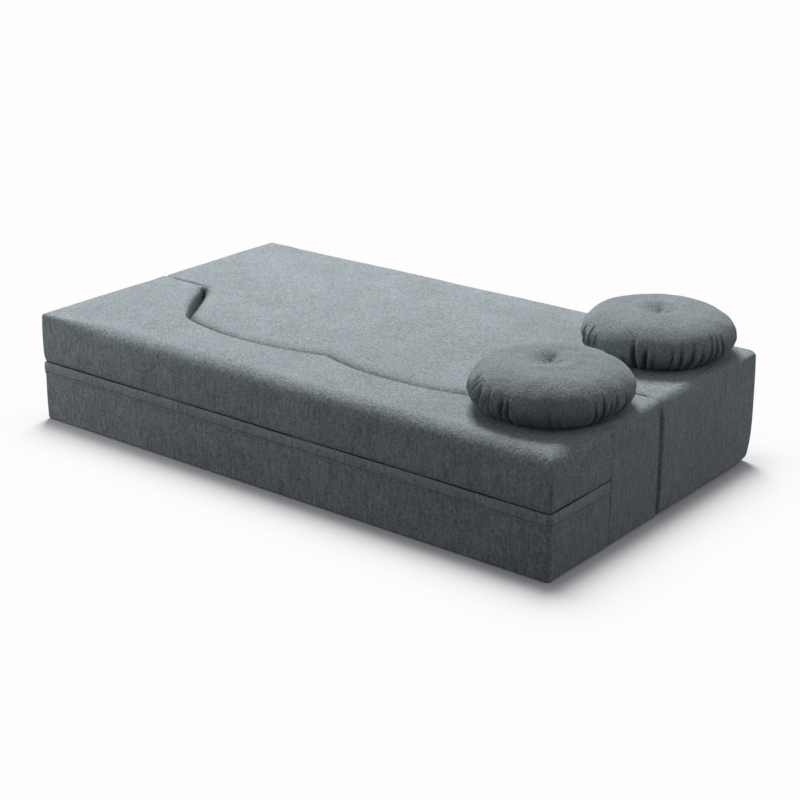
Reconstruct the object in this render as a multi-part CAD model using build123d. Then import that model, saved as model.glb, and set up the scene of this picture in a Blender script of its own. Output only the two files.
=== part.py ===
from build123d import *
import math
import os

# Folding sofa bed laid out as a bed: a seat block with a two lobed tongue, and a back
# block whose cut-out takes the tongue and which turns over onto the seat block.
# Origin at the bottom centre, X along the width, Y away from the front, Z up, millimetres.

# Blocks
bed_width = 2000.0
block_depth = 560.0
block_height = 365.0
fold_gap = 6.0
fold_lift = 0.3

# Rounded edges of the blocks, and how their walls lean and swell
front_edge_round = 50.0
end_edge_round = 30.0
far_edge_round = 16.0
fold_edge_round = 8.0
valley_edge_round = 30.0
foot_round = 16.0
foot_taper = 4.0
wall_swell = 4.0
outer_corner_round = 20.0
valley_corner_round = 36.0
sole_round = 10.0

# Tongue of the seat block, each half from its root at the fold to the notch in the middle
tongue_root = 796.0
tongue_reach = 341.0
notch_depth = 50.0
lobe_crest = 275.0
lobe_end = 552.0
lobe_end_rise = 40.0
tongue_cheek = 648.0
tongue_cheek_rise = 117.0
tongue_edge_round = 26.0
tongue_overlap = 120.0

# Cut-out of the back block round the tongue
front_clearance = 3.5
cheek_clearance = 10.0
side_clearance = 13.0
root_clearance = 6.0

# Foam and cover
cover_thickness = 2.4
foam_clearance = 0.3
comfort_thickness = 60.0
top_seam_drop = 30.0
base_seam_rise = 14.0
end_panel_depth = 262.0
border_room = 70.0

# Concealed zips, one round the back block and one along the far wall of the seat block
zip_line_height = 201.0
zip_band_height = 31.5
flap_slit = 0.8
zip_recess = 10.4
zip_tape_thickness = 1.0
chain_width = 4.6
chain_thickness = 3.0
chain_stop_length = 4.0
seat_zip_half = 890.0

# Sliders and pulls of the zips
slider_length = 18.0
slider_width = 11.0
slider_wall = 1.4
slider_clearance = 0.3
slider_nose_share = 0.3
bridge_length = 8.0
bridge_width = 3.4
bridge_wall = 1.1
bridge_post = 1.4
pull_length = 30.0
pull_width = 6.0
pull_thickness = 1.2
pull_bar = 2.0
pull_bar_back = 1.5
pull_eye_end = 4.8
pull_eye_width = 4.2
pull_nose_share = 0.4
park_gap = 6.0

# Fabric hinge in the fold, one strip on each side of the tongue
strip_drop = 62.0
strip_thickness = 1.0
bead_radius = 1.2
bead_clearance = 0.3
sleeve_thickness = 0.8
sleeve_start = 180.0
sleeve_end = 285.0
web_drop = 1.0
strip_inner_margin = 16.0
strip_outer_margin = 56.0

# Round pillows with gathered rims and a stitched tuft in the middle
pillow_radius = 233.0
pillow_thickness = 118.0
pillow_foot_radius = 150.0
rim_height = 54.0
crown_radius = 96.0
tuft_depth = 36.0
tuft_radius = 8.0
tuft_wall_lean = 0.45
base_tuft_depth = 12.0
base_tuft_spread = 70.0
pillow_cover_thickness = 2.0
stitch_radius = 2.0
knot_radius = 5.0
knot_height = 3.0
rest_clearance = 0.3
near_pillow_place = (765.0, -237.0)
far_pillow_place = (762.0, 362.0)

# Reach of cutting solids past what they cut
overrun = 40.0

half_width = bed_width / 2
fold_face = fold_gap / 2
hinge_height = block_height + fold_lift
zip_base_height = zip_line_height - zip_band_height
zip_middle = (zip_base_height + zip_line_height) / 2
chain_low = zip_middle - chain_width / 2
chain_high = zip_middle + chain_width / 2
tape_back = zip_recess + zip_tape_thickness
chain_inset = tape_back - chain_thickness
groove_back = tape_back + foam_clearance
foam_inset = cover_thickness + foam_clearance
seam_height = block_height - top_seam_drop
comfort_base = block_height - foam_inset - comfort_thickness


def box_between(low, high):
    """Box from its low corner to its high corner."""
    size = [b - a for a, b in zip(low, high)]
    middle = tuple((a + b) / 2 for a, b in zip(low, high))
    return Pos(*middle) * Box(*size)


def layer(z_low, z_high):
    """Slab that reaches past the whole bed between two heights."""
    reach = half_width + overrun
    depth = block_depth + overrun
    return box_between((-reach, -depth, z_low), (reach, depth, z_high))


def round_corner(start, end, centre):
    """Arc about a centre, from start to end by the shorter way."""
    radius = math.dist(start, centre)
    lean = [(a + b) / 2 - c for a, b, c in zip(start, end, centre)]
    share = radius / math.hypot(*lean)
    middle = tuple(c + share * v for c, v in zip(centre, lean))
    return ThreePointArc(start, middle, end)


def bulged_arc(start, end, bulge):
    """Arc that stands off its chord by bulge, to the left of the way from start to end."""
    run = math.dist(start, end)
    left = (start[1] - end[1], end[0] - start[0])
    middle = tuple((a + b) / 2 + bulge * n / run for a, b, n in zip(start, end, left))
    return ThreePointArc(start, middle, end)


def swelling_wall(edge, outward, top_round):
    """Lines of an outer wall from floor to top: leaning foot, zip band, swell, rounded edge."""
    wall = edge - outward * wall_swell
    foot = wall - outward * foot_taper
    toe = foot - outward * foot_round
    shoulder = block_height - top_round
    brow = wall - outward * top_round
    crest = (edge, (zip_line_height + shoulder) / 2)
    return [
        round_corner((toe, 0), (foot, foot_round), (toe, foot_round)),
        Line((foot, foot_round), (wall, zip_base_height)),
        Line((wall, zip_base_height), (wall, zip_line_height)),
        ThreePointArc((wall, zip_line_height), crest, (wall, shoulder)),
        round_corner((wall, shoulder), (brow, block_height), (brow, shoulder)),
    ]


def plain_wall(edge, outward, top_round):
    """Lines of an upright wall from floor to top, with a rounded top edge."""
    toe = edge - outward * sole_round
    brow = edge - outward * top_round
    shoulder = block_height - top_round
    return [
        round_corner((toe, 0), (edge, sole_round), (toe, sole_round)),
        Line((edge, sole_round), (edge, shoulder)),
        round_corner((edge, shoulder), (brow, block_height), (brow, shoulder)),
    ]


def section_face(one_wall, other_wall):
    """Closed section between two opposite walls, joined along the floor and the top."""
    floor_line = Line(one_wall[0] @ 0, other_wall[0] @ 0)
    top_line = Line(one_wall[-1] @ 1, other_wall[-1] @ 1)
    return make_face(one_wall + other_wall + [floor_line, top_line])


def width_section():
    """Section of either block across its width, seen from the front."""
    left = swelling_wall(-half_width, -1, end_edge_round)
    right = swelling_wall(half_width, 1, end_edge_round)
    return section_face(left, right)


def seat_depth_section():
    """Section of the seat block from the fold to its far wall."""
    fold_wall = plain_wall(fold_face, -1, valley_edge_round)
    far_wall = swelling_wall(block_depth, 1, far_edge_round)
    return section_face(fold_wall, far_wall)


def back_depth_section():
    """Section of the back block from its front wall to the fold."""
    front_wall = swelling_wall(-block_depth, -1, front_edge_round)
    fold_wall = plain_wall(-fold_face, 1, fold_edge_round)
    return section_face(front_wall, fold_wall)


def plan_rectangle(y_fold, y_outer, fold_round):
    """Plan of a block, with rounded outer corners, and rounded corners at the fold if asked."""
    side = 1 if y_outer > y_fold else -1
    outer = y_outer - side * outer_corner_round
    inner = y_fold + side * fold_round
    x_outer = half_width - outer_corner_round
    x_fold = half_width - fold_round
    edges = [Line((-x_fold, y_fold), (x_fold, y_fold)), Line((-x_outer, y_outer), (x_outer, y_outer))]
    for x_side in (1, -1):
        edge = x_side * half_width
        edges.append(Line((edge, inner), (edge, outer)))
        edges.append(
            round_corner((edge, outer), (x_side * x_outer, y_outer), (x_side * x_outer, outer))
        )
        if fold_round > 0:
            near_fold = (x_side * x_fold, y_fold)
            edges.append(round_corner(near_fold, (edge, inner), (x_side * x_fold, inner)))
    return make_face(edges)


def lobed_edge(side, grown):
    """One half of the tongue's edge, or of the cut-out's edge when it is grown by its gaps."""
    front = front_clearance if grown else 0
    cheek = cheek_clearance if grown else 0
    root = (side * root_width(grown), 0)
    cheek_point = (side * (tongue_cheek + cheek), tongue_cheek_rise - tongue_reach - front)
    lobe_point = (side * (lobe_end + front), lobe_end_rise - tongue_reach - front)
    crest_point = (side * lobe_crest, -tongue_reach - front)
    notch_point = (0, notch_depth - tongue_reach - front)
    lobe = ThreePointArc(lobe_point, crest_point, notch_point)
    corner = TangentArc(lobe_point, cheek_point, tangent=-(lobe % 0))
    if grown:
        flank = bulged_arc(root, cheek_point, side * side_clearance)
    else:
        flank = TangentArc(cheek_point, root, tangent=corner % 1)
    return [flank, corner, lobe]


def root_width(grown):
    """Distance from the middle to the root of the tongue, or to that of the cut-out."""
    return tongue_root + (root_clearance if grown else 0)


def lobed_plan(rear, grown):
    """Plan of the tongue or of the cut-out, closed by a straight line behind the fold."""
    width = root_width(grown)
    closing = [
        Line((-width, 0), (-width, rear)),
        Line((-width, rear), (width, rear)),
        Line((width, rear), (width, 0)),
    ]
    return make_face(lobed_edge(-1, grown) + lobed_edge(1, grown) + closing)


def shrink(face, inset):
    """The face drawn in by inset all round."""
    if inset == 0:
        return face
    return offset(face, amount=-inset)


def block_body(plan, depth_section, inset):
    """Solid that lies inside its plan, its section across the width and its section in depth."""
    upright = extrude(shrink(plan, inset), block_height)
    reach = half_width + overrun
    depth = block_depth + overrun
    across = extrude(Plane.XZ.offset(-depth) * shrink(width_section(), inset), depth * 2)
    along = extrude(Plane.YZ.offset(-reach) * shrink(depth_section, inset), reach * 2)
    return upright & across & along


def seat_block(inset):
    """The seat block and its tongue, drawn in by inset."""
    plan = plan_rectangle(fold_face, block_depth, valley_corner_round)
    body = block_body(plan, seat_depth_section(), inset)
    outline = shrink(lobed_plan(tongue_overlap, False), inset)
    tongue = Pos(0, 0, inset) * extrude(outline, block_height - inset * 2)
    top_edges = tongue.faces().sort_by(Axis.Z)[-1].edges()
    lobed = top_edges.filter_by(lambda edge: edge.center().Y < -fold_gap)
    tongue = fillet(lobed, tongue_edge_round - inset)
    return body + tongue


def back_block(inset):
    """The back block with its lobed cut-out, drawn in by inset."""
    plan = plan_rectangle(overrun, -block_depth, 0)
    cut_out = lobed_plan(overrun * 2, True)
    return block_body(plan - cut_out, back_depth_section(), inset)


def skins(block):
    """One block's solid drawn in to each depth where a cover, a zip or the foam begins."""
    depths = (0, cover_thickness, foam_inset, chain_inset, zip_recess, tape_back, groove_back)
    return {depth: block(depth) for depth in depths}


def between(skin, outside, inside, room):
    """What lies between two depths of a block, within a room."""
    return (skin[outside] & room) - skin[inside]


def back_outer_zone():
    """Room of the back block's front and end walls, as far back as its plain end panels."""
    reach = half_width + overrun
    depth = block_depth + overrun
    arm = half_width - border_room
    wall = block_depth - border_room
    height = block_height + overrun
    outside = box_between((-reach, -depth, -overrun), (reach, -end_panel_depth, height))
    inside = box_between((-arm, -wall, -overrun), (arm, overrun, height))
    return outside - inside


def seat_zip_zone():
    """Room of the seat block's far wall along its zip."""
    low = (-seat_zip_half, block_depth - border_room, -overrun)
    high = (seat_zip_half, block_depth + overrun, block_height + overrun)
    return box_between(low, high)


def tongue_zone():
    """Room on the front side of the fold."""
    reach = half_width + overrun
    depth = block_depth + overrun
    return box_between((-reach, -depth, -overrun), (reach, fold_face, block_height + overrun))


def foam_core(skin, zone):
    """All the foam of a block, with the groove in its wall where the zip lies."""
    groove_low = zip_base_height - foam_inset
    groove_high = zip_line_height + foam_inset
    groove = between(skin, 0, groove_back, zone & layer(groove_low, groove_high))
    return skin[foam_inset] - groove


def cover_between(skin, room):
    """Cover fabric of a block within a room."""
    return between(skin, 0, cover_thickness, room)


def cover_panel(skin, z_low, z_high):
    """Top or base panel of a cover, with its turned edge that is sewn to the walls."""
    return between(skin, 0, cover_thickness, layer(z_low, z_high))


def lower_turned_edge(skin, zone):
    """Edge of the wall fabric turned inwards below a zip, where the tape is sewn to it."""
    room = zone & layer(zip_base_height - cover_thickness, zip_base_height)
    return between(skin, 0, tape_back, room)


def upper_turned_edge(skin, zone):
    """Edge of the wall fabric turned inwards above a zip, where the tape is sewn to it."""
    room = zone & layer(zip_line_height, zip_line_height + cover_thickness)
    return between(skin, 0, tape_back, room)


def zip_flap(skin, zone):
    """Strip of fabric sewn on below a zip that hides it, with an open slit above it."""
    return cover_between(skin, zone & layer(zip_base_height, zip_line_height - flap_slit))


def zip_tapes(skin, zone):
    """Lower and upper tape of a zip, on either side of its chain."""
    lower = between(skin, zip_recess, tape_back, zone & layer(zip_base_height, chain_low))
    upper = between(skin, zip_recess, tape_back, zone & layer(chain_high, zip_line_height))
    return lower + upper


def closed_chain(skin, zone):
    """Closed chain of a zip with the room of its end stops still filled."""
    return between(skin, chain_inset, tape_back, zone & layer(chain_low, chain_high))


def back_stop_room():
    """Room of the back zip's stops, beside the end panels."""
    reach = half_width + overrun
    low = (-reach, -end_panel_depth - chain_stop_length, 0)
    return box_between(low, (reach, -end_panel_depth, block_height))


def seat_stop_room():
    """Room of the seat zip's stops, at the two ends of the far wall's zip."""
    depth = block_depth + overrun
    inner = seat_zip_half - chain_stop_length
    whole = box_between((-seat_zip_half, 0, 0), (seat_zip_half, depth, block_height))
    return whole - box_between((-inner, 0, 0), (inner, depth, block_height))


def zip_slider():
    """Slider saddled over the chain, with the bridge that holds its pull. It lies along X,
    with the wall's face at Y zero, outwards at +Y, and its middle at the origin."""
    half = slider_length / 2
    base = slider_clearance - zip_recess
    roof = slider_clearance - chain_inset
    top = roof + slider_wall
    slot = chain_width / 2 + slider_clearance
    body = box_between((-half, base, -slider_width / 2), (half, top, slider_width / 2))
    body = fillet(body.edges().filter_by(Axis.Y), slider_width * slider_nose_share)
    body -= box_between((-half - overrun, base - overrun, -slot), (half + overrun, roof, slot))
    reach = bridge_length / 2
    tunnel_top = top + pull_thickness + slider_clearance * 2
    bridge_half = bridge_width / 2
    bridge = box_between(
        (-reach, top, -bridge_half), (reach, tunnel_top + bridge_wall, bridge_half)
    )
    tunnel = reach - bridge_post
    bridge -= box_between((-tunnel, top, -bridge_half), (tunnel, tunnel_top, bridge_half))
    return body + bridge


def zip_pull():
    """Flat pull that lies along the slider. Its eye is closed by a bar under the bridge."""
    low = slider_clearance - chain_inset + slider_wall + slider_clearance
    high = low + pull_thickness
    half = pull_width / 2
    eye_half = pull_eye_width / 2
    plate = box_between((-pull_bar_back, low, -half), (pull_length, high, half))
    ends = plate.edges().filter_by(Axis.Y).sort_by(Axis.X)[-2:]
    plate = fillet(ends, pull_width * pull_nose_share)
    bar_front = pull_bar - pull_bar_back
    return plate - box_between((bar_front, low, -eye_half), (pull_eye_end, high, eye_half))


def back_zip_place():
    """Where the back zip's slider parks: on the right end wall, just short of the end panel."""
    y_park = end_panel_depth + chain_stop_length + park_gap + slider_length / 2
    origin = (half_width - wall_swell, -y_park, zip_middle)
    return Location(Plane(origin=origin, x_dir=(0, -1, 0), z_dir=(0, 0, 1)))


def seat_zip_place():
    """Where the seat zip's slider parks: at the left end of the far wall's zip."""
    x_park = seat_zip_half - chain_stop_length - park_gap - slider_length / 2
    origin = (-x_park, block_depth - wall_swell, zip_middle)
    return Location(Plane(origin=origin, x_dir=(1, 0, 0), z_dir=(0, 0, 1)))


def strip_reach():
    """Distance from the middle of the bed to the near and the far end of a hinge strip."""
    return tongue_root + root_clearance + strip_inner_margin, half_width - strip_outer_margin


def hinge_strip(side, y_low, y_high):
    """One leaf of the fabric hinge, sewn flat against a block's fold wall."""
    inner, outer = strip_reach()
    x_low, x_high = sorted((side * inner, side * outer))
    low = (x_low, y_low, hinge_height - strip_drop)
    return box_between(low, (x_high, y_high, block_height))


def hinge_roll(side, radius):
    """Cylinder on the turning axis, as long as one leaf."""
    inner, outer = strip_reach()
    place = Pos(side * (inner + outer) / 2, 0, hinge_height)
    return place * Rot(0, 90, 0) * Cylinder(radius, outer - inner)


def seat_hinge_strips():
    """The two leaves sewn to the seat block's fold wall."""
    face = fold_face - strip_thickness
    return hinge_strip(-1, face, fold_face) + hinge_strip(1, face, fold_face)


def hinge_beads():
    """Corded edge on the turning axis, with a short web to each seat leaf."""
    inner, outer = strip_reach()
    beads = []
    for side in (-1, 1):
        x_low, x_high = sorted((side * inner, side * outer))
        web = box_between(
            (x_low, 0, hinge_height - web_drop),
            (x_high, fold_face - strip_thickness, block_height),
        )
        beads.append(hinge_roll(side, bead_radius) + web)
    return beads[0] + beads[1]


def sleeve_sector():
    """Sector of the hinge's section that the sleeve fills, as a prism over the whole width."""
    reach = strip_drop
    corners = [(0, 0)]
    for share in (0, 1 / 3, 2 / 3, 1):
        angle = math.radians(sleeve_start + share * (sleeve_end - sleeve_start))
        corners.append((reach * math.cos(angle), reach * math.sin(angle)))
    face = make_face(Polyline(*corners, close=True))
    prism = extrude(Plane.YZ.offset(-half_width) * face, half_width * 2)
    return Pos(0, 0, hinge_height) * prism


def back_hinge_strips():
    """The two leaves sewn to the back block's fold wall, each with a sleeve for the bead."""
    face = strip_thickness - fold_face
    inside = bead_radius + bead_clearance
    sector = sleeve_sector()
    leaves = []
    for side in (-1, 1):
        ring = hinge_roll(side, inside + sleeve_thickness) - hinge_roll(side, inside)
        leaves.append(hinge_strip(side, -fold_face, face) + (ring & sector))
    return leaves[0] + leaves[1]


def pillow_profile(inset):
    """Half section of a pillow beside its axis, with its top and its base drawn in by inset."""
    high = pillow_thickness - inset
    dimple = pillow_thickness - tuft_depth - inset
    base_dimple = base_tuft_depth + inset
    neck = tuft_radius + inset
    rim = pillow_radius - inset
    path = [
        (0, base_dimple),
        (neck, base_dimple),
        (base_tuft_spread, inset),
        (pillow_foot_radius, inset),
        (rim, rim_height),
        (crown_radius, high),
        (neck, dimple),
        (0, dimple),
    ]
    out = (1, 0)
    edges = [
        Line(path[0], path[1]),
        Spline(path[1], path[2], tangents=(out, out)),
        Line(path[2], path[3]),
        Spline(path[3], path[4], tangents=(out, (0, 1))),
        Spline(path[4], path[5], tangents=((0, 1), (-1, 0))),
        Spline(path[5], path[6], tangents=((-1, 0), (-tuft_wall_lean, -1))),
        Line(path[6], path[7]),
        Line(path[7], path[0]),
    ]
    return Plane.XZ * make_face(edges)


def pillow_solid(inset):
    """Round pillow drawn in by inset, resting on the height zero, its axis through the origin."""
    return revolve(pillow_profile(inset), Axis.Z)


def tuft_stitch():
    """Thread through the middle of a pillow with a knot at either end."""
    high = pillow_thickness - tuft_depth
    length = high - base_tuft_depth
    thread = Pos(0, 0, base_tuft_depth + length / 2) * Cylinder(stitch_radius, length)
    knot = Cylinder(knot_radius, knot_height)
    top_knot = Pos(0, 0, high + knot_height / 2) * knot
    return thread + top_knot + Pos(0, 0, base_tuft_depth - knot_height / 2) * knot


def pillow_parts(name, place):
    """Cover, filling and stitch of one pillow where it lies on the bed."""
    x_place, y_place = place
    at = Pos(x_place, y_place, block_height + rest_clearance)
    stitch = tuft_stitch()
    filling = pillow_solid(pillow_cover_thickness)
    return {
        f"{name}_pillow_cover": at * (pillow_solid(0) - filling - stitch),
        f"{name}_pillow_filling": at * (filling - stitch),
        f"{name}_pillow_tuft_stitch": at * stitch,
    }


def seat_parts():
    """Foam, cover and zip of the seat block."""
    skin = skins(seat_block)
    zone = seat_zip_zone()
    tongue = tongue_zone()
    foam = foam_core(skin, zone)
    wall_room = layer(base_seam_rise, seam_height)
    slot = zone & layer(zip_base_height, zip_line_height)
    border = cover_between(skin, wall_room - tongue - slot)
    chain = closed_chain(skin, zone)
    stops = seat_stop_room()
    place = seat_zip_place()
    return {
        "seat_foam_base": foam & layer(0, comfort_base),
        "seat_comfort_foam": foam & layer(comfort_base, block_height),
        "seat_top_panel": cover_panel(skin, seam_height, block_height),
        "seat_outer_border": border + lower_turned_edge(skin, zone) + upper_turned_edge(skin, zone),
        "seat_tongue_border": cover_between(skin, tongue & wall_room),
        "seat_base_panel": cover_panel(skin, 0, base_seam_rise),
        "seat_zip_flap": zip_flap(skin, zone),
        "seat_zip_tapes": zip_tapes(skin, zone),
        "seat_zip_chain": chain - stops,
        "seat_zip_stops": chain & stops,
        "seat_zip_slider": place * zip_slider(),
        "seat_zip_pull": place * zip_pull(),
    }


def back_parts():
    """Foam, cover and zip of the back block."""
    skin = skins(back_block)
    zone = back_outer_zone()
    foam = foam_core(skin, zone)
    lower = cover_between(skin, zone & layer(base_seam_rise, zip_base_height))
    upper = cover_between(skin, zone & layer(zip_line_height, seam_height))
    plain_room = layer(base_seam_rise, seam_height) - zone
    chain = closed_chain(skin, zone)
    stops = back_stop_room()
    place = back_zip_place()
    return {
        "back_foam_base": foam & layer(0, comfort_base),
        "back_comfort_foam": foam & layer(comfort_base, block_height),
        "back_top_panel": cover_panel(skin, seam_height, block_height),
        "back_upper_border": upper + upper_turned_edge(skin, zone),
        "back_lower_border": lower + lower_turned_edge(skin, zone),
        "back_end_panels": cover_between(skin, plain_room),
        "back_base_panel": cover_panel(skin, 0, base_seam_rise),
        "back_zip_flap": zip_flap(skin, zone),
        "back_zip_tapes": zip_tapes(skin, zone),
        "back_zip_chain": chain - stops,
        "back_zip_stops": chain & stops,
        "back_zip_slider": place * zip_slider(),
        "back_zip_pull": place * zip_pull(),
    }


def hinge_parts():
    """Fabric hinge between the two blocks."""
    return {
        "hinge_seat_strips": seat_hinge_strips(),
        "hinge_back_strips": back_hinge_strips(),
        "hinge_bead": hinge_beads(),
    }


def all_parts():
    """Every piece of the sofa bed by name, where it lies in the bed layout."""
    parts = {}
    parts.update(seat_parts())
    parts.update(back_parts())
    parts.update(hinge_parts())
    parts.update(pillow_parts("near", near_pillow_place))
    parts.update(pillow_parts("far", far_pillow_place))
    return parts


if __name__ == "__main__":
    os.makedirs("parts", exist_ok=True)
    for node, solid in all_parts().items():
        box = solid.bounding_box()
        low = tuple(round(value, 1) for value in box.min)
        high = tuple(round(value, 1) for value in box.max)
        print(node, len(solid.solids()), round(solid.volume), low, high)
        export_step(solid, f"parts/{node}.step")
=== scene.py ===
import math

import bpy
import numpy as np
from bpy.props import FloatProperty, FloatVectorProperty, PointerProperty
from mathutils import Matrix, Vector


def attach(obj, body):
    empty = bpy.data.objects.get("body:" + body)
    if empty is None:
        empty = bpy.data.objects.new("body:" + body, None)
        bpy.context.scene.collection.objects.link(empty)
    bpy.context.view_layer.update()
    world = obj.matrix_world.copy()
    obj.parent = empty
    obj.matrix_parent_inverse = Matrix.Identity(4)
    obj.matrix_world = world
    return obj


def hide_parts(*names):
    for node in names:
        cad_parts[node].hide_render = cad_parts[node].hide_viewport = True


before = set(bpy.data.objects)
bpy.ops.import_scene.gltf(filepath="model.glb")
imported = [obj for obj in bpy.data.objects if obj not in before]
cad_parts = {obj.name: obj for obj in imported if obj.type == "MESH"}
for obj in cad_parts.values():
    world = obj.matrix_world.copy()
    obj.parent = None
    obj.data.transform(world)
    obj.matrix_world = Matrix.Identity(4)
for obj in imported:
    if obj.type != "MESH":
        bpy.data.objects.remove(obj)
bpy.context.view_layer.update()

bl_info = {
    "name": "Folding sofa bed",
    "version": (1, 0, 0),
    "blender": (4, 5, 0),
    "location": "View3D > Sidebar > Sofa bed",
    "description": "Covers, pillows, zips and stage of a foam folding sofa bed",
    "category": "Object",
}

# Sizes shared with the part's source, in metres.
HALF_WIDTH = 1.0
DEPTH = 0.56
HEIGHT = 0.365
FOLD_FACE = 0.0015
ZIP_LOW = 0.1695
ZIP_HIGH = 0.201
ZIP_RECESS = 0.0116
END_PANEL = 0.262
SEAT_ZIP_HALF = 0.89

# The tongue in plan: half width at its root, reach of its lobes' front line, and x and distance behind
# that line of the points that its arcs pass.
TONGUE_ROOT = 0.796
TONGUE_REACH = 0.341
CHEEK, LOBE_END, CREST, NOTCH = (0.648, 0.117), (0.552, 0.040), (0.275, 0.0), (0.0, 0.050)
# How much larger the cut-out is at its lobes, its cheeks and its root, and how far its flanks bulge.
GAP_FRONT, GAP_CHEEK, GAP_ROOT, FLANK_BULGE = 0.0035, 0.010, 0.006, 0.013

# The blocks' outer walls: foot round, swell, and how far the foot panel is hollow and the upper panel
# rolls in over the zip, with the height over which that fades. The channel's depths are shares of
# ZIP_RECESS, at rises above ZIP_LOW.
FOOT, SWELL, FOOT_HOLLOW = 0.009, 0.003, 0.0015
ROLL_IN, ROLL_FADE = 0.0056, 0.0075
CHANNEL_DEPTHS = np.array([0.35, 1, 1, 1, 0.95, 0.7, 0.5])
CHANNEL_RISES = np.array([0.0003, 0.0009, 0.008, 0.020, 0.0285, 0.0300, 0.0312])

# Stations along the back block's arms, corners and half front, where its arms start, and its corners'
# rounds in plan.
ARM, CORNER, FRONT = 118, 14, 190
ARM_START = -FOLD_FACE - 0.005
LEFT_CORNER, RIGHT_CORNER = 0.012, 0.019

# Pillows: height of the surface they lie on, their own height, rings and points around in the finished
# mesh and in the simulated one, height above which a profile point is on the upper side, and the most
# that the cloth may move a point.
PILLOW_SEAT, PILLOW_CROWN = 0.3653, 0.139
RINGS, AROUND = 154, 960
COARSE_RINGS, COARSE_AROUND = 60, 180
UPPER_SIDE = 0.07
CLOTH_CAP = 0.012
CLOTH_FRAMES = 15
CLOTH = {
    "quality": 3, "mass": 0.25, "tension_stiffness": 12, "compression_stiffness": 12, "shear_stiffness": 4,
    "bending_stiffness": 0.12, "air_damping": 2.0, "use_pressure": True, "uniform_pressure_force": 7.0,
    "vertex_group_mass": "held", "vertex_group_shrink": "tight", "shrink_min": -0.12, "shrink_max": 0.0,
}
# Each pillow's name, centre, seed, shift of its tuft, way that the tuft's longest fold runs, and the
# places where gathers crowd: angle, spread, number and depth.
PILLOWS = (
    ("near_pillow", (0.773, -0.232), 5, (-0.019, 0.004), 1.70, (
        (-2.38, 0.075, 5, 0.010), (-1.97, 0.090, 5, 0.013), (-1.58, 0.12, 2, 0.010),
        (-0.27, 0.10, 4, 0.009), (0.15, 0.12, 2, 0.006), (2.0, 0.2, 5, 0.007))),
    ("far_pillow", (0.762, 0.362), 8, (0.004, -0.008), 1.87, (
        (-2.16, 0.085, 6, 0.011), (-1.27, 0.17, 2, 0.015), (-0.45, 0.13, 7, 0.005), (1.8, 0.2, 5, 0.007))),
)

# Turn, reach, depth and width of the folds that run out from a tuft: the longest one's, and the spans
# that the others' are drawn from.
MAIN_FOLD = (0, 0.145, 0.0120, 0.60)
SIDE_FOLDS = ((-0.35, 0.35), (0.060, 0.110), (0.002, 0.004), (0.30, 0.50))

# Section of a zip flap: inset from the box and height, round its outer face, free top edge and back.
FLAP_SECTION = np.array([
    (0.0060, 0.1590), (0.0030, 0.1598), (0.0009, 0.1612), (0.0005, 0.1635), (0.0011, 0.1655), (0.0034, 0.1672),
    (0.0014, 0.1692), (0.0004, 0.1740), (0.0002, 0.1840), (0.0008, 0.1930), (0.0024, 0.1985), (0.0046, 0.2002),
    (0.0068, 0.1997), (0.0068, 0.1960), (0.0060, 0.1900), (0.0058, 0.1800), (0.0064, 0.1700), (0.0078, 0.1640),
])

# Each pile's contrast, grain to the metre, streaks, patches, bump depth and ribs. The zips' chain and
# metal have the finest ones, for their unevenness.
PILES = {
    "Chenille": (0.5, 130.0, 1.1, 0.4, 0.0026, 0.0),
    "Flap chenille": (0.42, 130.0, 1.1, 0.4, 0.0026, 0.0),
    "Pillow cloth": (0.5, 150.0, 0.1, 0.3, 0.0034, 0.30),
    "Base cloth": (0.3, 500.0, 0.0, 0.1, 0.0004, 0.0),
    "Hinge webbing": (0.4, 600.0, 0.0, 0.1, 0.0004, 0.0),
    "Zip tape": (0.3, 1500.0, 0.0, 0.0, 0.0002, 0.0),
    "Zip chain": (0.3, 1200.0, 0.0, 0.0, 0.0003, 0.0),
    "Zip metal": (0.12, 700.0, 0.0, 0.2, 0.0001, 0.0),
}
# Colours of the dark seam lines and the painted shade in the tongue's crevice, of the painted shade in the
# flaps' stitch grooves, and of the base cloth.
SEAM_AND_CREVICE_SHADE, GROOVE_SHADE, BASE_COLOUR = (0.05, 0.055, 0.06), (0.04, 0.045, 0.05), (0.030, 0.032, 0.034)
TAPE_COLOUR, CHAIN_COLOUR, METAL_COLOUR = (0.060, 0.068, 0.070), (0.040, 0.045, 0.047), (0.40, 0.40, 0.41)

# Each lamp's name, place, aim, side, and the setting and the share of it that is its power.
LAMPS = (
    ("overhead", (-2.2, 2.5, 5.2), (0.0, 0.0, 0.3), 2.3, "lamp_power", 1.0),
    ("left", (-1.9, -1.7, 1.0), (-0.9, -0.5, 0.2), 0.8, "side_power", 1.0),
    ("right", (2.9, 1.5, 1.3), (0.9, 0.3, 0.2), 0.8, "side_power", 0.72),
)
# The camera's place, its azimuth and elevation in degrees, and its lens in millimetres.
CAMERA_PLACE, CAMERA_TURN, CAMERA_LENS = (3.3852, -4.2023, 2.1443), (38.4393, 20.4394), 81.157
# How far from the blocks the floor is half faded to white, how fast it fades, and its gain at the end.
FADE_REACH, FADE_POWER, FADE_GAIN = 0.074, 2.4, 1.03


# ---------------------------------------------------------------- curves


def arc_through(start, middle, end, count):
    """Points on the circle through three points: centre plus radius times (cos, sin) of an even angle."""
    a, b, c = (np.array(p, float) for p in (start, middle, end))
    ab, ac = b - a, c - a
    cross = 2 * (ab[0] * ac[1] - ab[1] * ac[0])
    square_b, square_c = ab @ ab, ac @ ac
    offset = np.array([ac[1] * square_b - ab[1] * square_c, ab[0] * square_c - ac[0] * square_b]) / cross
    centre = a + offset
    radius = np.hypot(*offset)
    first, mid, last = (math.atan2(*(p - centre)[::-1]) for p in (a, b, c))
    turn = (last - first) % math.tau
    if (mid - first) % math.tau > turn:
        turn -= math.tau
    angle = first + turn * np.linspace(0, 1, count)
    return centre + radius * np.stack([np.cos(angle), np.sin(angle)], axis=1)


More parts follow.
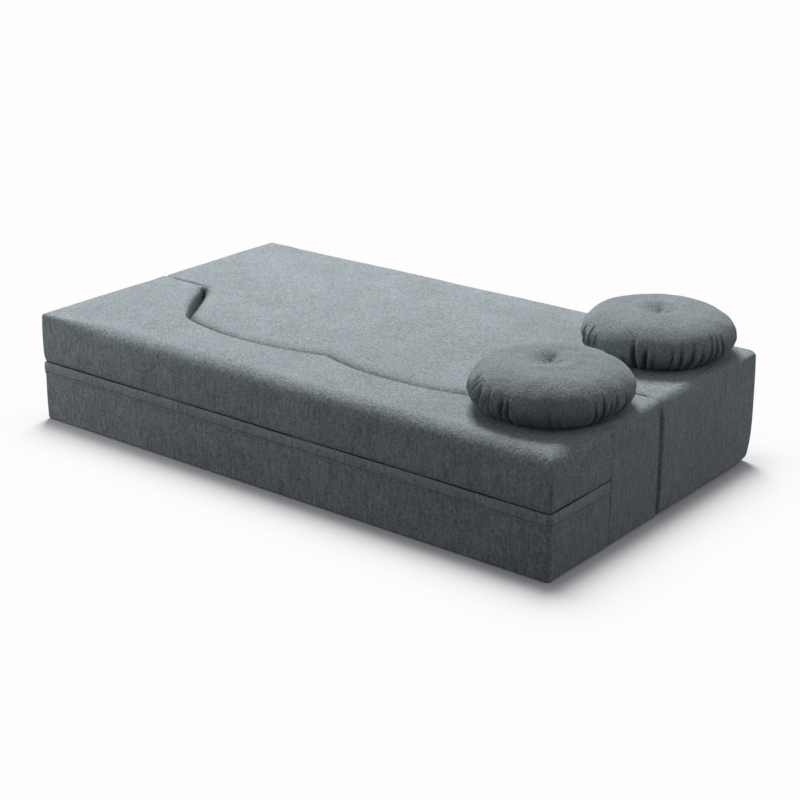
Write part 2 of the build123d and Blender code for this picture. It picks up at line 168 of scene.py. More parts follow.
def arc_from_tangent(start, tangent, end, count):
    """Circle arc that leaves start along tangent: its turn is twice the angle between tangent and chord."""
    start, end = np.array(start, float), np.array(end, float)
    tangent = np.array(tangent, float) / np.hypot(*tangent)
    chord = end - start
    normal = np.array([-tangent[1], tangent[0]])
    if normal @ chord < 0:
        normal = -normal
    lean = math.atan2(normal @ chord, tangent @ chord)
    radius = np.hypot(*chord) / (2 * math.sin(lean))
    angle = 2 * lean * np.linspace(0, 1, count)[:, None]
    return start + radius * (np.sin(angle) * tangent + (1 - np.cos(angle)) * normal)


def lobed_half(grown):
    """Right half of the tongue's outline from its root to its notch, or of the cut-out's outline.

    Arcs go from the notch over the lobe's crest, round its corner and along the flank, each tangent to
    the one before. The cut-out's flank is an arc through a point that stands out from its chord's middle.
    """
    front, cheek, wider = (GAP_FRONT, GAP_CHEEK, GAP_ROOT) if grown else (0.0, 0.0, 0.0)

    def place(point, aside=0.0):
        return point[0] + aside, point[1] - TONGUE_REACH - front

    root = (TONGUE_ROOT + wider, 0.0)
    cheek_point, lobe_point = place(CHEEK, cheek), place(LOBE_END, front)
    lobe = arc_through(place(NOTCH), place(CREST), lobe_point, 400)
    corner = arc_from_tangent(lobe_point, lobe[-1] - lobe[-2], cheek_point, 120)
    if grown:
        chord = np.array(root) - cheek_point
        outward = np.array([chord[1], -chord[0]]) / np.hypot(*chord)
        middle = (np.array(root) + cheek_point) / 2 + outward * FLANK_BULGE
        flank = arc_through(cheek_point, middle, root, 200)
    else:
        flank = arc_from_tangent(cheek_point, corner[-1] - corner[-2], root, 200)
    return np.concatenate([lobe, corner[1:], flank[1:]])[::-1]


def resample(line, share):
    """Points of a polyline at the given shares of its length."""
    step = np.hypot(*np.diff(line, axis=0).T)
    along = np.concatenate([[0], np.cumsum(step)]) / step.sum()
    return np.stack([np.interp(share, along, line[:, k]) for k in (0, 1)], axis=1)


def left_normals(line):
    """Unit normals to the left of a polyline, from its central differences, lightly smoothed."""
    tangent = np.gradient(line, axis=0)
    tangent /= np.hypot(*tangent.T)[:, None]
    normal = np.stack([-tangent[:, 1], tangent[:, 0]], axis=1)
    padded = np.concatenate([normal[:1], normal, normal[-1:]])
    normal = (padded[:-2] + 2 * padded[1:-1] + padded[2:]) / 4
    return normal / np.hypot(*normal.T)[:, None]


def normals_facing(line, way):
    """Unit normals of an outline, all on the side where its middle one has a y of way's sign."""
    normal = left_normals(line)
    return normal * way * np.sign(normal[len(line) // 2, 1])


def ramp(value, low, high):
    """Smooth step from 0 at low to 1 at high."""
    t = np.clip((value - low) / (high - low), 0, 1)
    return t * t * (3 - 2 * t)


def waves(points, seed, size, count=14):
    """Soft noise between about -1 and 1: a sum of sine waves in random directions, about size long."""
    rng = np.random.default_rng(seed)
    direction = rng.normal(size=(count, 3))
    direction /= np.linalg.norm(direction, axis=1)[:, None]
    number = math.tau / (size * rng.uniform(0.7, 1.6, count))
    phase = rng.uniform(0, math.tau, count)
    total = np.zeros(points.shape[:-1])
    for k in range(count):
        total += np.sin(points @ (direction[k] * number[k]) + phase[k])
    return total / math.sqrt(count)


# ---------------------------------------------------------------- meshes


def closed_tube(grid):
    """Vertices and faces of a tube of closed rings, with a fan to a pole at the middle of each end ring.

    A fan's triangles have -1 for their fourth corner. The faces turn outward: the sum of their corners'
    triple products, six times the volume, is above zero.
    """
    rings, around = grid.shape[:2]
    poles = np.stack([grid[0].mean(axis=0), grid[-1].mean(axis=0)])
    vertices = np.concatenate([grid.reshape(-1, 3), poles])
    i = np.arange(rings - 1)[:, None] * around
    j = np.arange(around)[None, :]
    k = (j + 1) % around
    quads = np.stack([i + j, i + around + j, i + around + k, i + k], axis=-1).reshape(-1, 4)
    j, k = j[0], k[0]
    last, pole, none = (rings - 1) * around, np.full(around, rings * around), np.full(around, -1)
    start = np.stack([j, k, pole, none], axis=1)
    end = np.stack([last + k, last + j, pole + 1, none], axis=1)
    corners = vertices[quads[:, :3]]
    if np.einsum("ij,ij->", corners[:, 0], np.cross(corners[:, 1], corners[:, 2])) < 0:
        quads = quads[:, ::-1]
        start, end = start[:, [1, 0, 2, 3]], end[:, [1, 0, 2, 3]]
    return vertices, np.concatenate([quads, start, end])


def new_object(name, vertices, faces):
    """Links an object with a new mesh, whose faces leave out the corners that are -1."""
    mesh = bpy.data.meshes.new(name)
    mesh.from_pydata(vertices.tolist(), [], [[v for v in f if v >= 0] for f in faces.tolist()])
    piece = bpy.data.objects.new(name, mesh)
    bpy.context.scene.collection.objects.link(piece)
    return piece


def link_piece(name, grid, body, material, replaced):
    """Makes the piece of a closed tube, shades it smooth and binds it to its body."""
    piece = new_object(name, *closed_tube(grid))
    piece.data.polygons.foreach_set("use_smooth", np.ones(len(piece.data.polygons), bool))
    piece.data.update()
    piece.data.materials.append(material)
    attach(piece, body)
    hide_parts(*replaced)
    return piece


def read(members, key):
    """A vector property of every member of a mesh's collection, one row each."""
    values = np.empty(len(members) * 3, np.float32)
    members.foreach_get(key, values)
    return values.reshape(-1, 3)


def read_places(piece):
    """Vertex places of a piece."""
    return read(piece.data.vertices, "co").astype(float)


def set_attribute(piece, name, values):
    """Keeps one number for each vertex, which the piece's material reads by name."""
    attribute = piece.data.attributes.new(name, "FLOAT", "POINT")
    attribute.data.foreach_set("value", np.asarray(values, np.float32))


def move_along_normals(piece, amount):
    """Moves each vertex along its normal by its own amount."""
    vertices = piece.data.vertices
    moved = read(vertices, "co") + read(vertices, "normal") * np.asarray(amount, np.float32)[:, None]
    vertices.foreach_set("co", moved.ravel())
    piece.data.update()


# ---------------------------------------------------------------- block covers


def outer_profile(top_round, channel):
    """Inset and height up an outer wall, one row for each station.

    Rounded foot, foot panel, zip channel, upper panel that rolls in over the zip by a falling
    exponential, and rounded top edge. Where channel is 0 the wall is one even swell instead, a
    parabola from foot to shoulder. top_round and channel are columns of one value a station.
    """
    one = np.ones_like(top_round)
    angle = np.linspace(0, math.pi / 2, 9)[:-1]
    foot_inset = (SWELL + FOOT * (1 - np.sin(angle))) * one
    foot_height = FOOT * (1 - np.cos(angle)) * one
    rise = np.linspace(0, 1, 18)
    low_height = (FOOT + (ZIP_LOW - FOOT) * rise) * one
    level = (CHANNEL_RISES + ZIP_LOW) * one
    bottom = ZIP_HIGH + 0.0005
    rise_up = np.linspace(0, 1, 30)[1:] ** 1.6
    shoulder = HEIGHT - top_round
    up_height = bottom + (shoulder - bottom) * rise_up
    height = np.concatenate([low_height, level, up_height], axis=1)
    plain = SWELL * (2 * (height - FOOT) / (shoulder - FOOT) - 1) ** 2
    low = (SWELL - FOOT_HOLLOW * np.sin(math.pi * rise)) * one
    zipped = SWELL + ZIP_RECESS * CHANNEL_DEPTHS * one
    up = SWELL * (2 * rise_up - 1) ** 2 + ROLL_IN * np.exp(-(up_height - bottom) / ROLL_FADE)
    inset = plain * (1 - channel) + np.concatenate([low, zipped, up], axis=1) * channel
    angle = np.linspace(0, math.pi / 2, 16)[1:]
    top_inset = inset[:, -1:] + top_round * (1 - np.cos(angle))
    top_height = shoulder + top_round * np.sin(angle)
    insets = np.concatenate([foot_inset, inset, top_inset], axis=1)
    return insets, np.concatenate([foot_height, height, top_height], axis=1)


def inner_profile(top_round, drop, foot_round):
    """Inset and height down an upright wall, one row for each station.

    The top edge is a quarter of an ellipse, top_round wide and drop high, and the foot a quarter circle.
    """
    one = np.ones_like(top_round)
    top = np.linspace(0, math.pi / 2, 11)
    fall = np.linspace(0, 1, 18)[1:]
    foot = np.linspace(0, math.pi / 2, 5)[1:]
    shoulder = HEIGHT - drop
    insets = [top_round * (1 - np.sin(top)), 0 * fall * one, foot_round * (1 - np.cos(foot)) * one]
    heights = [HEIGHT - drop * (1 - np.cos(top)), shoulder + (foot_round - shoulder) * fall,
               foot_round * (1 - np.sin(foot)) * one]
    return np.concatenate(insets, axis=1), np.concatenate(heights, axis=1)


def upright_wall(plan, way, insets, heights):
    """Wall along an outline in plan, its points moved by their insets along way."""
    return np.concatenate([plan[:, None] + way[:, None] * insets[..., None], heights[..., None]], axis=2)


def across(first, last, count):
    """Points of a straight span between two rows of points, without its ends."""
    share = np.linspace(0, 1, count + 2)[1:-1][None, :, None]
    return first[:, None] * (1 - share) + last[:, None] * share


def block_sections(up, down, top_count, base_count):
    """Closed sections of a block: up one wall, across the top, down the other wall, and across the base."""
    top = across(up[:, -1], down[:, 0], top_count)
    base = across(down[:, -1], up[:, 0], base_count)
    return np.concatenate([up, top, down, base], axis=1)


def shut_end(ring, inward, reach, sides, steps, fill):
    """Rings that round off and fill the end of a tube.

    The end ring is drawn in by each side's own round times (1 - sin) of an angle that runs from a
    right angle to zero, while it moves out to the end plane by reach times the angle's cosine short
    of it, and then it shrinks to its middle. inward points from the end plane into the tube, and
    sides holds the axis, the sign and the round of each side.
    """
    low, high = ring.min(axis=0), ring.max(axis=0)
    out = []
    for angle in np.linspace(math.pi / 2, 0, steps + 1)[1:]:
        moved = ring - np.array(inward) * reach * math.cos(angle)
        for axis, sign, edge_round in sides:
            away = ring[:, axis] - (low if sign > 0 else high)[axis]
            moved[:, axis] -= edge_round * (1 - math.sin(angle)) * away / (high - low)[axis]
        out.append(moved)
    middle = out[-1].mean(axis=0)
    shares = 1 - np.linspace(0, 1, fill + 1)[1:-1]
    return out + [middle + (out[-1] - middle) * share for share in shares]


def shut_ends(grid, ends, steps, fill):
    """The grid of a tube with both its ends shut, each by its own inward way, reach and sides."""
    first, last = (shut_end(grid[which], *end, steps, fill) for which, end in zip((0, -1), ends))
    return np.concatenate([np.stack(first[::-1]), grid, np.stack(last)])


def arm_outline(inset, corner_round):
    """Right half of the back block's outer outline, drawn in by inset at each station.

    Straight arm, quarter circle and straight front stand inset from the box, and the quarter
    circle keeps the corner's round less the inset.
    """
    bend = np.maximum(corner_round - inset, 0.003)
    y_corner = -DEPTH + inset + bend
    x_corner = HALF_WIDTH - inset - bend
    arm_share = np.linspace(0, 1, ARM)
    angle = np.linspace(0, math.pi / 2, CORNER + 2)[1:-1]
    a, b, c = slice(0, ARM), slice(ARM, ARM + CORNER), slice(ARM + CORNER, None)
    x = np.concatenate([
        HALF_WIDTH - inset[a],
        x_corner[b] + bend[b] * np.cos(angle),
        x_corner[c] * (1 - np.linspace(0, 1, FRONT)),
    ])
    y = np.concatenate([
        ARM_START + (y_corner[a] - ARM_START) * arm_share,
        y_corner[b] - bend[b] * np.sin(angle),
        -DEPTH + inset[c],
    ])
    return np.stack([x, y], axis=1)


def both_sides(right, left):
    """One outline from the left arm's end round to the right arm's end."""
    return np.concatenate([left[:-1] * np.array([-1, 1]), right[::-1]])


def back_outline(inset):
    """Outer outline of the back block with one inset for each station."""
    count = ARM + CORNER + FRONT
    right = arm_outline(inset[count - 1:][::-1], RIGHT_CORNER)
    return both_sides(right, arm_outline(inset[:count], LEFT_CORNER))


def back_cover_grid():
    """Grid of the back block's cover: a section carried from the left arm's fold end to the right one's.

    The cut-out's points are spread by shares of its length, so that they keep beside the outer wall's.
    """
    bend_start, bend_end = 0.285, 0.36
    shares = [np.linspace(0, bend_start, ARM), np.linspace(bend_start, bend_end, CORNER + 2)[1:-1],
              np.linspace(bend_end, 1, FRONT)]
    half = resample(lobed_half(True), np.concatenate(shares))
    half[:, 1] += ARM_START * np.clip(1 - np.arange(len(half)) / 60.0, 0, 1)
    inner = both_sides(half, half)
    x, y = back_outline(np.zeros(len(inner))).T
    channel = ramp(-y, END_PANEL - 0.003, END_PANEL + 0.003)[:, None]
    on_front = ramp(-y, 0.50, DEPTH)
    right_round = 0.026 + 0.022 * ramp(-y, END_PANEL - 0.02, END_PANEL + 0.04)
    left_round = 0.009 + 0.003 * ramp(-y, 0.45, DEPTH)
    front_round = 0.012 + 0.044 * ramp(x, -0.99, -0.70)
    top_round = (np.where(x > 0, right_round, left_round) * (1 - on_front) + front_round * on_front)[:, None]
    insets, heights = outer_profile(top_round, channel)
    rings = np.stack([back_outline(column) for column in insets.T], axis=1)
    wall = np.concatenate([rings, heights[..., None]], axis=2)
    on_cheek = ramp(np.abs(inner[:, 0]), 0.60, 0.68) * ramp(-inner[:, 1], 0.0, 0.05)
    lip = (0.005 + 0.017 * on_cheek)[:, None]
    inner_wall = upright_wall(inner, normals_facing(inner, -1), *inner_profile(lip, lip, 0.007))
    return block_sections(wall, inner_wall, 34, 10)


def make_back_cover(material, base_material):
    """Cover of the back block, with its ends at the fold rounded and shut."""
    ends = [((0, -1, 0), 0.006, ((0, sign, 0.005), (0, -sign, 0.007), (2, 1, 0.006), (2, -1, 0.008)))
            for sign in (-1, 1)]
    nodes = ["back_foam_base", "back_comfort_foam", "back_top_panel", "back_upper_border",
             "back_lower_border", "back_end_panels", "back_base_panel"]
    grid = shut_ends(back_cover_grid(), ends, 7, 9)
    piece = link_piece("back_block_cover", grid, "back_block", material, nodes)
    shape_cover(piece, 11)
    x, y, z = read_places(piece).T
    on_end = (np.abs(x) > 0.93) * (1 - ramp(z, 0.325, 0.350))
    panel = ramp(y, -END_PANEL, -END_PANEL + 0.002) * on_end
    # The end panel's seam is pressed in as a groove and drawn as a dark line, with the same tint as the painted
    # crevice shade.
    seam_and_crevice_shade = np.exp(-(((y + END_PANEL - 0.002) / 0.0035) ** 2)) * on_end
    tucked = ramp(y, -END_PANEL - 0.030, -END_PANEL) * (1 - panel) * on_end * ramp(z, ZIP_LOW, ZIP_HIGH)
    set_attribute(piece, "plain_panel", panel)
    set_attribute(piece, "seam_and_crevice_shade", seam_and_crevice_shade)
    move_along_normals(piece, -0.0030 * seam_and_crevice_shade - 0.0012 * panel + 0.0010 * tucked)
    paint_base(piece, base_material)


def shape_cover(piece, seed):
    """Soft unevenness of a foam block's cover: broad hollows and a finer ripple, never outward."""
    place = read_places(piece)
    broad, fine = waves(place, seed, 0.42), waves(place, seed + 1, 0.11)
    amount = -0.0009 + 0.0008 * broad + 0.00035 * fine
    amount *= ramp(place[:, 2], 0.0, 0.03)
    move_along_normals(piece, np.clip(amount, -0.0026, -0.0001))


def paint_base(piece, base_material):
    """Gives the faces that lie on the floor the base cloth."""
    mesh = piece.data
    mesh.materials.append(base_material)
    low = (read(mesh.polygons, "center")[:, 2] < 0.004) & (read(mesh.polygons, "normal")[:, 2] < -0.5)
    mesh.polygons.foreach_set("material_index", low.astype(np.int32))


def seat_side(end_round):
    """Right half of the seat block's near edge: the fold wall, a small turn and the tongue's outline."""
    tongue = resample(lobed_half(False), np.linspace(0, 1, 331))
    way = (tongue[4] - tongue[0]) / np.hypot(*(tongue[4] - tongue[0]))
    meeting = tongue[0] + way * ((FOLD_FACE - tongue[0, 1]) / way[1])
    reach = 0.019
    first = meeting + np.array([reach, 0])
    last = int(np.argmin(np.abs(np.hypot(*(tongue - meeting).T) - reach)))
    turn = arc_from_tangent(first, (-1, 0), tongue[last], 14)
    arm_x = np.linspace(HALF_WIDTH - end_round, first[0], 56)[:-1]
    arm = np.stack([arm_x, np.full(len(arm_x), FOLD_FACE)], axis=1)
    return np.concatenate([arm, turn, tongue[last + 1:]])


def seat_cover_grid(left_round, right_round):
    """Grid of the seat block's cover: a section in depth carried from its left end to its right end.

    The near wall follows the fold and the tongue's lobed outline, the far wall runs straight with
    its zip channel, and the rounds of the near edge change from the valley's to the tongue's.
    """
    near = both_sides(seat_side(right_round), seat_side(left_round))
    x = near[:, 0]
    channel = (1 - ramp(np.abs(x), SEAT_ZIP_HALF - 0.004, SEAT_ZIP_HALF + 0.004))[:, None]
    insets, heights = outer_profile(np.full((len(x), 1), 0.008), channel)
    far = np.stack([np.broadcast_to(x[:, None], insets.shape), DEPTH - insets, heights], axis=2)
    on_tongue = (1 - ramp(np.abs(x), 0.756, 0.826))[:, None]
    profile = inner_profile(0.026 + 0.026 * on_tongue, 0.011 + 0.031 * on_tongue, 0.008)
    return block_sections(far, upright_wall(near, normals_facing(near, 1), *profile), 60, 14)


def make_seat_cover(material, base_material):
    """Cover of the seat block: a crisp left end, and a softer right end that swells a little."""
    left_end, right_end = 0.009, 0.032
    grid = seat_cover_grid(left_end, right_end)
    right_top = 0.052 - 0.040 * ramp(grid[-1][:, 1], 0.20, 0.50)
    left = ((1, 0, 0), left_end, ((1, 1, 0.007), (1, -1, 0.007), (2, 1, 0.009), (2, -1, 0.012)))
    right = ((-1, 0, 0), right_end, ((1, 1, 0.008), (1, -1, 0.010), (2, 1, right_top), (2, -1, 0.022)))
    grid = shut_ends(grid, (left, right), 14, 16)
    x, y, z = grid[..., 0], grid[..., 1], grid[..., 2]
    end = ramp(np.abs(x), 0.90, 0.99)
    grid[..., 0] = x - np.sign(x) * end * 0.0015 * (2 * z / HEIGHT - 1) ** 2
    grid[..., 0] += ramp(x, 0.90, 0.99) * 0.003
    low_corner = np.exp(-((1 - x) ** 2 + (DEPTH - y) ** 2 + z ** 2) / 0.055 ** 2)
    grid += low_corner[..., None] * np.array([-0.007, -0.007, 0.004])
    nodes = ["seat_foam_base", "seat_comfort_foam", "seat_top_panel", "seat_outer_border",
             "seat_tongue_border", "seat_base_panel"]
    piece = link_piece("seat_block_cover", grid, "seat_block", material, nodes)
    shape_cover(piece, 23)
    x, y, z = read_places(piece).T
    set_attribute(piece, "plain_panel", (y > 0.006) * ramp(np.abs(x), 0.972, 0.992))
    # Painted shade in the crevice between the tongue and the back block: the tongue's near wall is darkened
    # below its top edge.
    sunk = (y < 0.0055) * (np.abs(x) < 0.80) * (1 - ramp(z, HEIGHT - 0.018, HEIGHT - 0.003))
    set_attribute(piece, "seam_and_crevice_shade", sunk)
    paint_base(piece, base_material)


# ---------------------------------------------------------------- zip flaps


def make_flap(name, path, outward, body, replaced, material):
    """Fabric flap over a concealed zip, sewn down along its lower edge and free along its upper one.

    Its section is carried along the path, and the free edge's height sways with the path's length.
    """
    length = np.concatenate([[0], np.cumsum(np.hypot(*np.diff(path, axis=0).T))])
    sway = 0.0011 * (np.sin(length * 7.3 + 1.1) * 0.6 + np.sin(length * 17.9) * 0.4)
    height = FLAP_SECTION[:, 1] + sway[:, None] * ramp(FLAP_SECTION[:, 1], 0.1700, 0.1950)
    grid = upright_wall(path, -outward, FLAP_SECTION[None, :, 0], height)
    piece = link_piece(name, grid, body, material, [replaced])
    up = np.append(np.tile(FLAP_SECTION[:, 1], len(path)), [0.18, 0.18])
    along = np.append(np.repeat(length, len(FLAP_SECTION)), [0, length[-1]])
    layer = piece.data.uv_layers.new(name="flap")
    loops = np.empty(len(piece.data.loops), np.int32)
    piece.data.loops.foreach_get("vertex_index", loops)
    layer.data.foreach_set("uv", np.stack([along, up], axis=1)[loops].astype(np.float32).ravel())


# ---------------------------------------------------------------- pillows


def bezier(points, count):
    """Cubic curve from four points: the sum of Bernstein weights times each point."""
    t = np.linspace(0, 1, count)[:, None]
    a, b, c, d = (np.array(p, float) for p in points)
    return a * (1 - t) ** 3 + 3 * b * t * (1 - t) ** 2 + 3 * c * t * t * (1 - t) + d * t ** 3


def pillow_profile(rings, around):
    """Radii and heights of a pillow's profile, a row of each, and a column of the angles round it.

    The half profile runs from the middle of the base to the bottom of the tuft.
    """
    curves = (
        (14, (0.006, 0.010), (0.030, 0.006), (0.055, 0.001), (0.100, 0.0008)),
        (12, (0.100, 0.0008), (0.120, 0.0005), (0.136, 0.0005), (0.148, 0.002)),
        (48, (0.148, 0.002), (0.188, 0.006), (0.236, 0.036), (0.236, 0.070)),
        (52, (0.236, 0.070), (0.236, 0.104), (0.192, 0.134), (0.132, 0.1355)),
        (34, (0.132, 0.1355), (0.096, 0.1365), (0.056, 0.124), (0.003, 0.104)),
    )
    first, *others = (bezier(points, count) for count, *points in curves)
    outline = np.concatenate([first] + [run[1:] for run in others])
    radius, height = resample(outline, np.linspace(0, 1, rings)).T[:, None]
    return radius, height, np.arange(around)[:, None] * math.tau / around


def gather(angle, at, width):
    """One narrow crease round the pillow: a bell curve of the angle's distance from where it lies."""
    away = (angle - at + math.pi) % math.tau - math.pi
    return np.exp(-((away / width) ** 2))


def pillow_creases(angle, radius, height, seed, bunched):
    """How far a pillow's side is drawn in at each angle and profile point by its gathers.

    Each gather is a bell curve of the angle with a fold of cloth beside it, leans a little as it
    climbs, and fades out at its own height. bunched lists (angle, spread, number, depth) where
    the gathers crowd and are deeper.
    """
    rng = np.random.default_rng(seed)
    spots = list((np.arange(30) + rng.uniform(-0.4, 0.4, 30)) * math.tau / 30)
    depths = list(rng.uniform(0.0015, 0.0050, 30))
    for at, spread, number, deep in bunched:
        spots += list(at + spread * (np.arange(number) - (number - 1) / 2 + rng.uniform(-0.2, 0.2, number)))
        depths += list(2.0 * deep * rng.uniform(0.75, 1.25, number))
    crease = np.zeros((len(angle), radius.shape[1]))
    for at, deep in zip(spots, depths):
        strong = deep > 0.006
        width = rng.uniform(0.013, 0.021) * (1.0 if strong else 1.7)
        top = rng.uniform(0.070, 0.105) * (1.2 if strong else 1.0)
        lean = rng.uniform(-0.10, 0.10)
        up = np.clip(height / top, 0, 1.2)
        shape = gather(angle, at + lean * (up - 0.4), width * (0.85 + 0.7 * up))
        ridge = gather(angle, at + 2.0 * width + lean * (up - 0.4), width * 1.1)
        fade = ramp(radius, 0.130, 0.180) * (1 - ramp(height, top * 0.45, top))
        crease += deep * (shape - 0.45 * ridge) * fade
    return crease


def tuft_folds(angle, radius, height, seed, fold_way):
    """How deep the folds are that run out from a pillow's tuft like a star, the longest along fold_way."""
    rng = np.random.default_rng(seed)
    star = np.zeros((len(angle), radius.shape[1]))
    for k in range(6):
        turn, reach, deep, wide = [rng.uniform(*span) for span in SIDE_FOLDS] if k else MAIN_FOLD
        at = fold_way + k * math.tau / 6 + turn
        body = ramp(radius, 0.0, 0.030) * ramp(reach - radius, 0, reach * 0.9)
        star += deep * gather(angle, at, wide * 0.045 / (radius + 0.030)) * body * (height > UPPER_SIDE)
    return star


def blow_up(grid, held, slack):
    """Blows a tube of closed rings up as cloth and gives the new grid, each point moved by CLOTH_CAP at most.

    held weighs the rings that stay, and slack the rings whose cloth is larger than the space it fills.
    The pressure inside pushes the cloth out until it is tight, so that it gathers where it is held.
    Gravity is off, and the cloth object is removed afterwards.
    """
    scene = bpy.context.scene
    vertices, faces = closed_tube(grid)
    pad = new_object("cloth", vertices, faces)
    steps = 20
    for name, weights in (("held", held), ("tight", 1 - slack)):
        group = pad.vertex_groups.new(name=name)
        levels = np.round(weights * steps).astype(int)
        levels = np.append(np.repeat(levels, grid.shape[1]), levels[[0, -1]])
        for level in np.unique(levels[levels > 0]):
            group.add(np.nonzero(levels == level)[0].tolist(), level / steps, "REPLACE")
    cloth = pad.modifiers.new("cloth", "CLOTH")
    for key, value in CLOTH.items():
        setattr(cloth.settings, key, value)
    cloth.settings.effector_weights.gravity = 0
    cloth.collision_settings.use_collision = False
    for frame_number in range(1, CLOTH_FRAMES + 1):
        scene.frame_set(frame_number)
    moved = read_places(pad.evaluated_get(bpy.context.evaluated_depsgraph_get())) - vertices
    length = np.linalg.norm(moved, axis=1)
    moved *= (np.minimum(length, CLOTH_CAP) / np.maximum(length, 1e-9))[:, None]
    bpy.data.objects.remove(pad)
    scene.frame_set(1)
    return (vertices + moved)[:-2].reshape(grid.shape)


def finer_grid(grid, rings, around):
    """A grid of closed rings at a finer spacing: sine waves round each ring, cubic curves between rings.

    The cubic is a Catmull-Rom curve: at each ring its slope is half the step between the two beside it.
    """
    count = grid.shape[1]
    spectrum = np.fft.rfft(grid, axis=1)
    wide = np.zeros((grid.shape[0], around // 2 + 1, 3), complex)
    wide[:, :spectrum.shape[1]] = spectrum
    grid = np.fft.irfft(wide, n=around, axis=1) * around / count
    place = np.linspace(0, len(grid) - 1, rings)
    low = np.minimum(place.astype(int), len(grid) - 2)
    share = (place - low)[:, None, None]
    before, after = grid[np.maximum(low - 1, 0)], grid[np.minimum(low + 2, len(grid) - 1)]
    a, b = grid[low], grid[low + 1]
    square, cube = 2 * before - 5 * a + 4 * b - after, 3 * (a - b) + after - before
    return a + share * (b - before + share * (square + share * cube)) / 2


def plain_pillow(centre, seed, tuft_shift):
    """Grid of a pillow without creases: its profile turned about the axis and blown up.

    The cloth is held at its base seam and its tuft, and starts a little small. Its top is brought to
    the pillow's height afterwards.
    """
    radius, height, angle = pillow_profile(COARSE_RINGS, COARSE_AROUND)
    full = 0.012 * np.sin(3 * angle + seed) + 0.008 * np.sin(5 * angle + 2.2 * seed)
    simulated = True
    small = -0.016 if simulated else 0.0
    r = radius * (1 + (full - 0.006 + small) * ramp(radius, 0.10, 0.22))
    z = height + 0.15 * small * ramp(height, 0.05, 0.13)
    near_tuft = (1 - ramp(radius, 0.0, 0.190)) * (height > 0.066)
    x = r * np.cos(angle) + tuft_shift[0] * near_tuft
    y = r * np.sin(angle) + tuft_shift[1] * near_tuft
    z = z + PILLOW_SEAT * np.ones_like(x)
    grid = np.stack([x + centre[0], y + centre[1], z], axis=2).transpose(1, 0, 2)
    if simulated:
        up, rim = height[0], radius[0]
        on_top = up > UPPER_SIDE
        held = np.maximum((up < 0.0022) * 1.0, on_top * (1 - ramp(rim, 0.000, 0.055)) ** 2)
        slack = np.where(on_top & (rim < 0.15), 0.2, np.clip(1 - ramp(up, 0.03, 0.085), 0.2, 0.8))
        blown = blow_up(grid, held, slack)
        grid = grid + (blown - grid) * np.where(on_top, ramp(rim, 0.0, 0.15), 1.0)[:, None, None]
    rise = np.maximum(grid[..., 2] - PILLOW_SEAT, 0.0006)
    grid[..., 2] = PILLOW_SEAT + rise * PILLOW_CROWN / rise.max()
    return finer_grid(grid, RINGS, AROUND)


def make_pillow(name, centre, seed, tuft_shift, fold_way, bunched, material):
    """Round gathered pillow: the blown-up shape, drawn in by its gathers and its tuft's folds."""
    radius, height, angle = pillow_profile(RINGS, AROUND)
    crease = pillow_creases(angle, radius, height, seed, bunched)
    sunk = tuft_folds(angle, radius, height, seed, fold_way) + 0.30 * crease * (height > 0.02)
    inward = -np.stack([np.cos(angle) * crease, np.sin(angle) * crease, sunk], axis=2)
    grid = plain_pillow(centre, seed, tuft_shift) + inward.transpose(1, 0, 2)
    nodes = [f"{name}_cover", f"{name}_filling", f"{name}_tuft_stitch"]
    piece = link_piece(f"{name}_gathered_cover", grid, name, material, nodes)
    # Painted shade: the cloth is darkened in the gathers' creases and towards the pillow's underside, where
    # shade falls.
    hollow = crease.T / 0.012 + 0.95 * (1 - ramp(height.T, 0.012, 0.090))
    set_attribute(piece, "gather", np.append(np.clip(hollow, 0, 1).ravel(), [0, 0]))
    place = read_places(piece)
    lump = 0.0018 * waves(place, seed + 40, 0.17) + 0.0007 * waves(place, seed + 41, 0.06)
    move_along_normals(piece, lump * ramp(place[:, 2] - PILLOW_SEAT, 0.004, 0.03))


# ---------------------------------------------------------------- materials


def new_group(name, inputs, outputs):
    """Empty shader node group with named inputs and outputs."""
    group = bpy.data.node_groups.new(name, "ShaderNodeTree")
    for label, kind, default in inputs:
        socket = group.interface.new_socket(name=label, in_out="INPUT", socket_type=kind)
        socket.default_value = default
    for label, kind in outputs:
        group.interface.new_socket(name=label, in_out="OUTPUT", socket_type=kind)
    return group, group.nodes.new("NodeGroupInput"), group.nodes.new("NodeGroupOutput")


def put(socket, value):
    """Feeds a socket from another one, or sets it to a plain value. Colours are given without alpha."""
    if isinstance(value, bpy.types.NodeSocket):
        socket.id_data.links.new(value, socket)
    else:
        socket.default_value = (*value, 1) if socket.type == "RGBA" else value


def set_values(node, values):
    """Gives a node its inputs, each a socket or a plain value, and its own properties, by name."""
    for key, value in values.items():
        if key in node.inputs:
            put(node.inputs[key], value)
        else:
            setattr(node, key, value)
    return node


def add(tree, kind, **values):
    """Adds a node with its values."""
    return set_values(tree.nodes.new(kind), values)


def noise(tree, vector, scale, detail=2.0, roughness=0.5):
    """Noise texture of a given scale on a vector."""
    values = {"Vector": vector, "Scale": scale, "Detail": detail, "Roughness": roughness}
    return add(tree, "ShaderNodeTexNoise", **values).outputs["Fac"]


def on_two(node, a, b):
    """Outputs of a node whose first two inputs are a and b."""
    put(node.inputs[0], a)
    put(node.inputs[1], b)
    return node.outputs


def math_node(tree, operation, a, b=0, clamp=False):
    """Math node whose inputs are sockets or numbers."""
    return on_two(add(tree, "ShaderNodeMath", operation=operation, use_clamp=clamp), a, b)[0]


def vector_node(tree, operation, a, b=(0, 0, 0)):
    """Outputs of a vector math node on sockets or plain vectors."""
    return on_two(add(tree, "ShaderNodeVectorMath", operation=operation), a, b)


def times(tree, a, b):
    """Product of two sockets or numbers."""
    return math_node(tree, "MULTIPLY", a, b)


